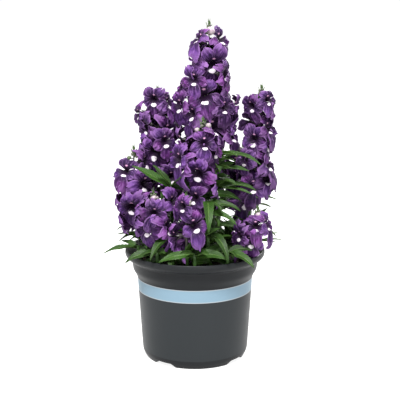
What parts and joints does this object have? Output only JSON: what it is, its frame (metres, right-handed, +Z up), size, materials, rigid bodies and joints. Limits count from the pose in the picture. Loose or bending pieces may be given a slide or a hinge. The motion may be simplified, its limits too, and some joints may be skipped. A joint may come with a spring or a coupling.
{
  "type": "potted angelonia",
  "caption": "Upright bedding plant with spikes of purple two-lipped blooms and narrow toothed leaves, in a round tapered nursery pot with a flared lip.",
  "frame": {"origin": "centre of the pot's underside, on the table", "axes": "+Z up through the pot, +X to the right seen from the front, the front towards -Y"},
  "size_m": [0.1561, 0.15, 0.2965],
  "materials": {
    "pot": "satin charcoal plastic with a sky-blue stripe round the body",
    "soil": "dark crumbly potting soil",
    "petals": "velvety purple petals, paler along the edges, with a dark throat and a white blotch",
    "buds": "pale green and white buds with a soft sheen",
    "foliage": "mid-green leaves and stems with a soft sheen and paler midribs"
  },
  "bodies": {
    "root": {"pot": "pot", "soil": "soil", "blooms_middle_tall": "petals", "buds_middle_tall": "buds", "stem_middle_tall": "foliage", "blooms_front_middle": "petals", "buds_front_middle": "buds", "stem_front_middle": "foliage", "blooms_left_back": "petals", "buds_left_back": "buds", "stem_left_back": "foliage", "blooms_far_left": "petals", "buds_far_left": "buds", "stem_far_left": "foliage", "blooms_left_front": "petals", "buds_left_front": "buds", "stem_left_front": "foliage", "blooms_right_tall": "petals", "buds_right_tall": "buds", "stem_right_tall": "foliage", "blooms_right_front": "petals", "buds_right_front": "buds", "stem_right_front": "foliage", "blooms_front_low": "petals", "buds_front_low": "buds", "stem_front_low": "foliage", "blooms_back_middle": "petals", "buds_back_middle": "buds", "stem_back_middle": "foliage", "blooms_back_left": "petals", "buds_back_left": "buds", "stem_back_left": "foliage", "blooms_back_right": "petals", "buds_back_right": "buds", "stem_back_right": "foliage", "leaves_middle": "foliage", "leaves_left_middle": "foliage", "leaves_front": "foliage", "leaves_front_left": "foliage", "leaves_rim_left": "foliage", "leaves_rim_middle": "foliage", "leaves_rim_right": "foliage", "leaves_left": "foliage", "leaves_right": "foliage", "leaves_back_right": "foliage", "leaves_back": "foliage", "leaves_back_far": "foliage", "leaves_back_left": "foliage"}
  },
  "joints": []
}
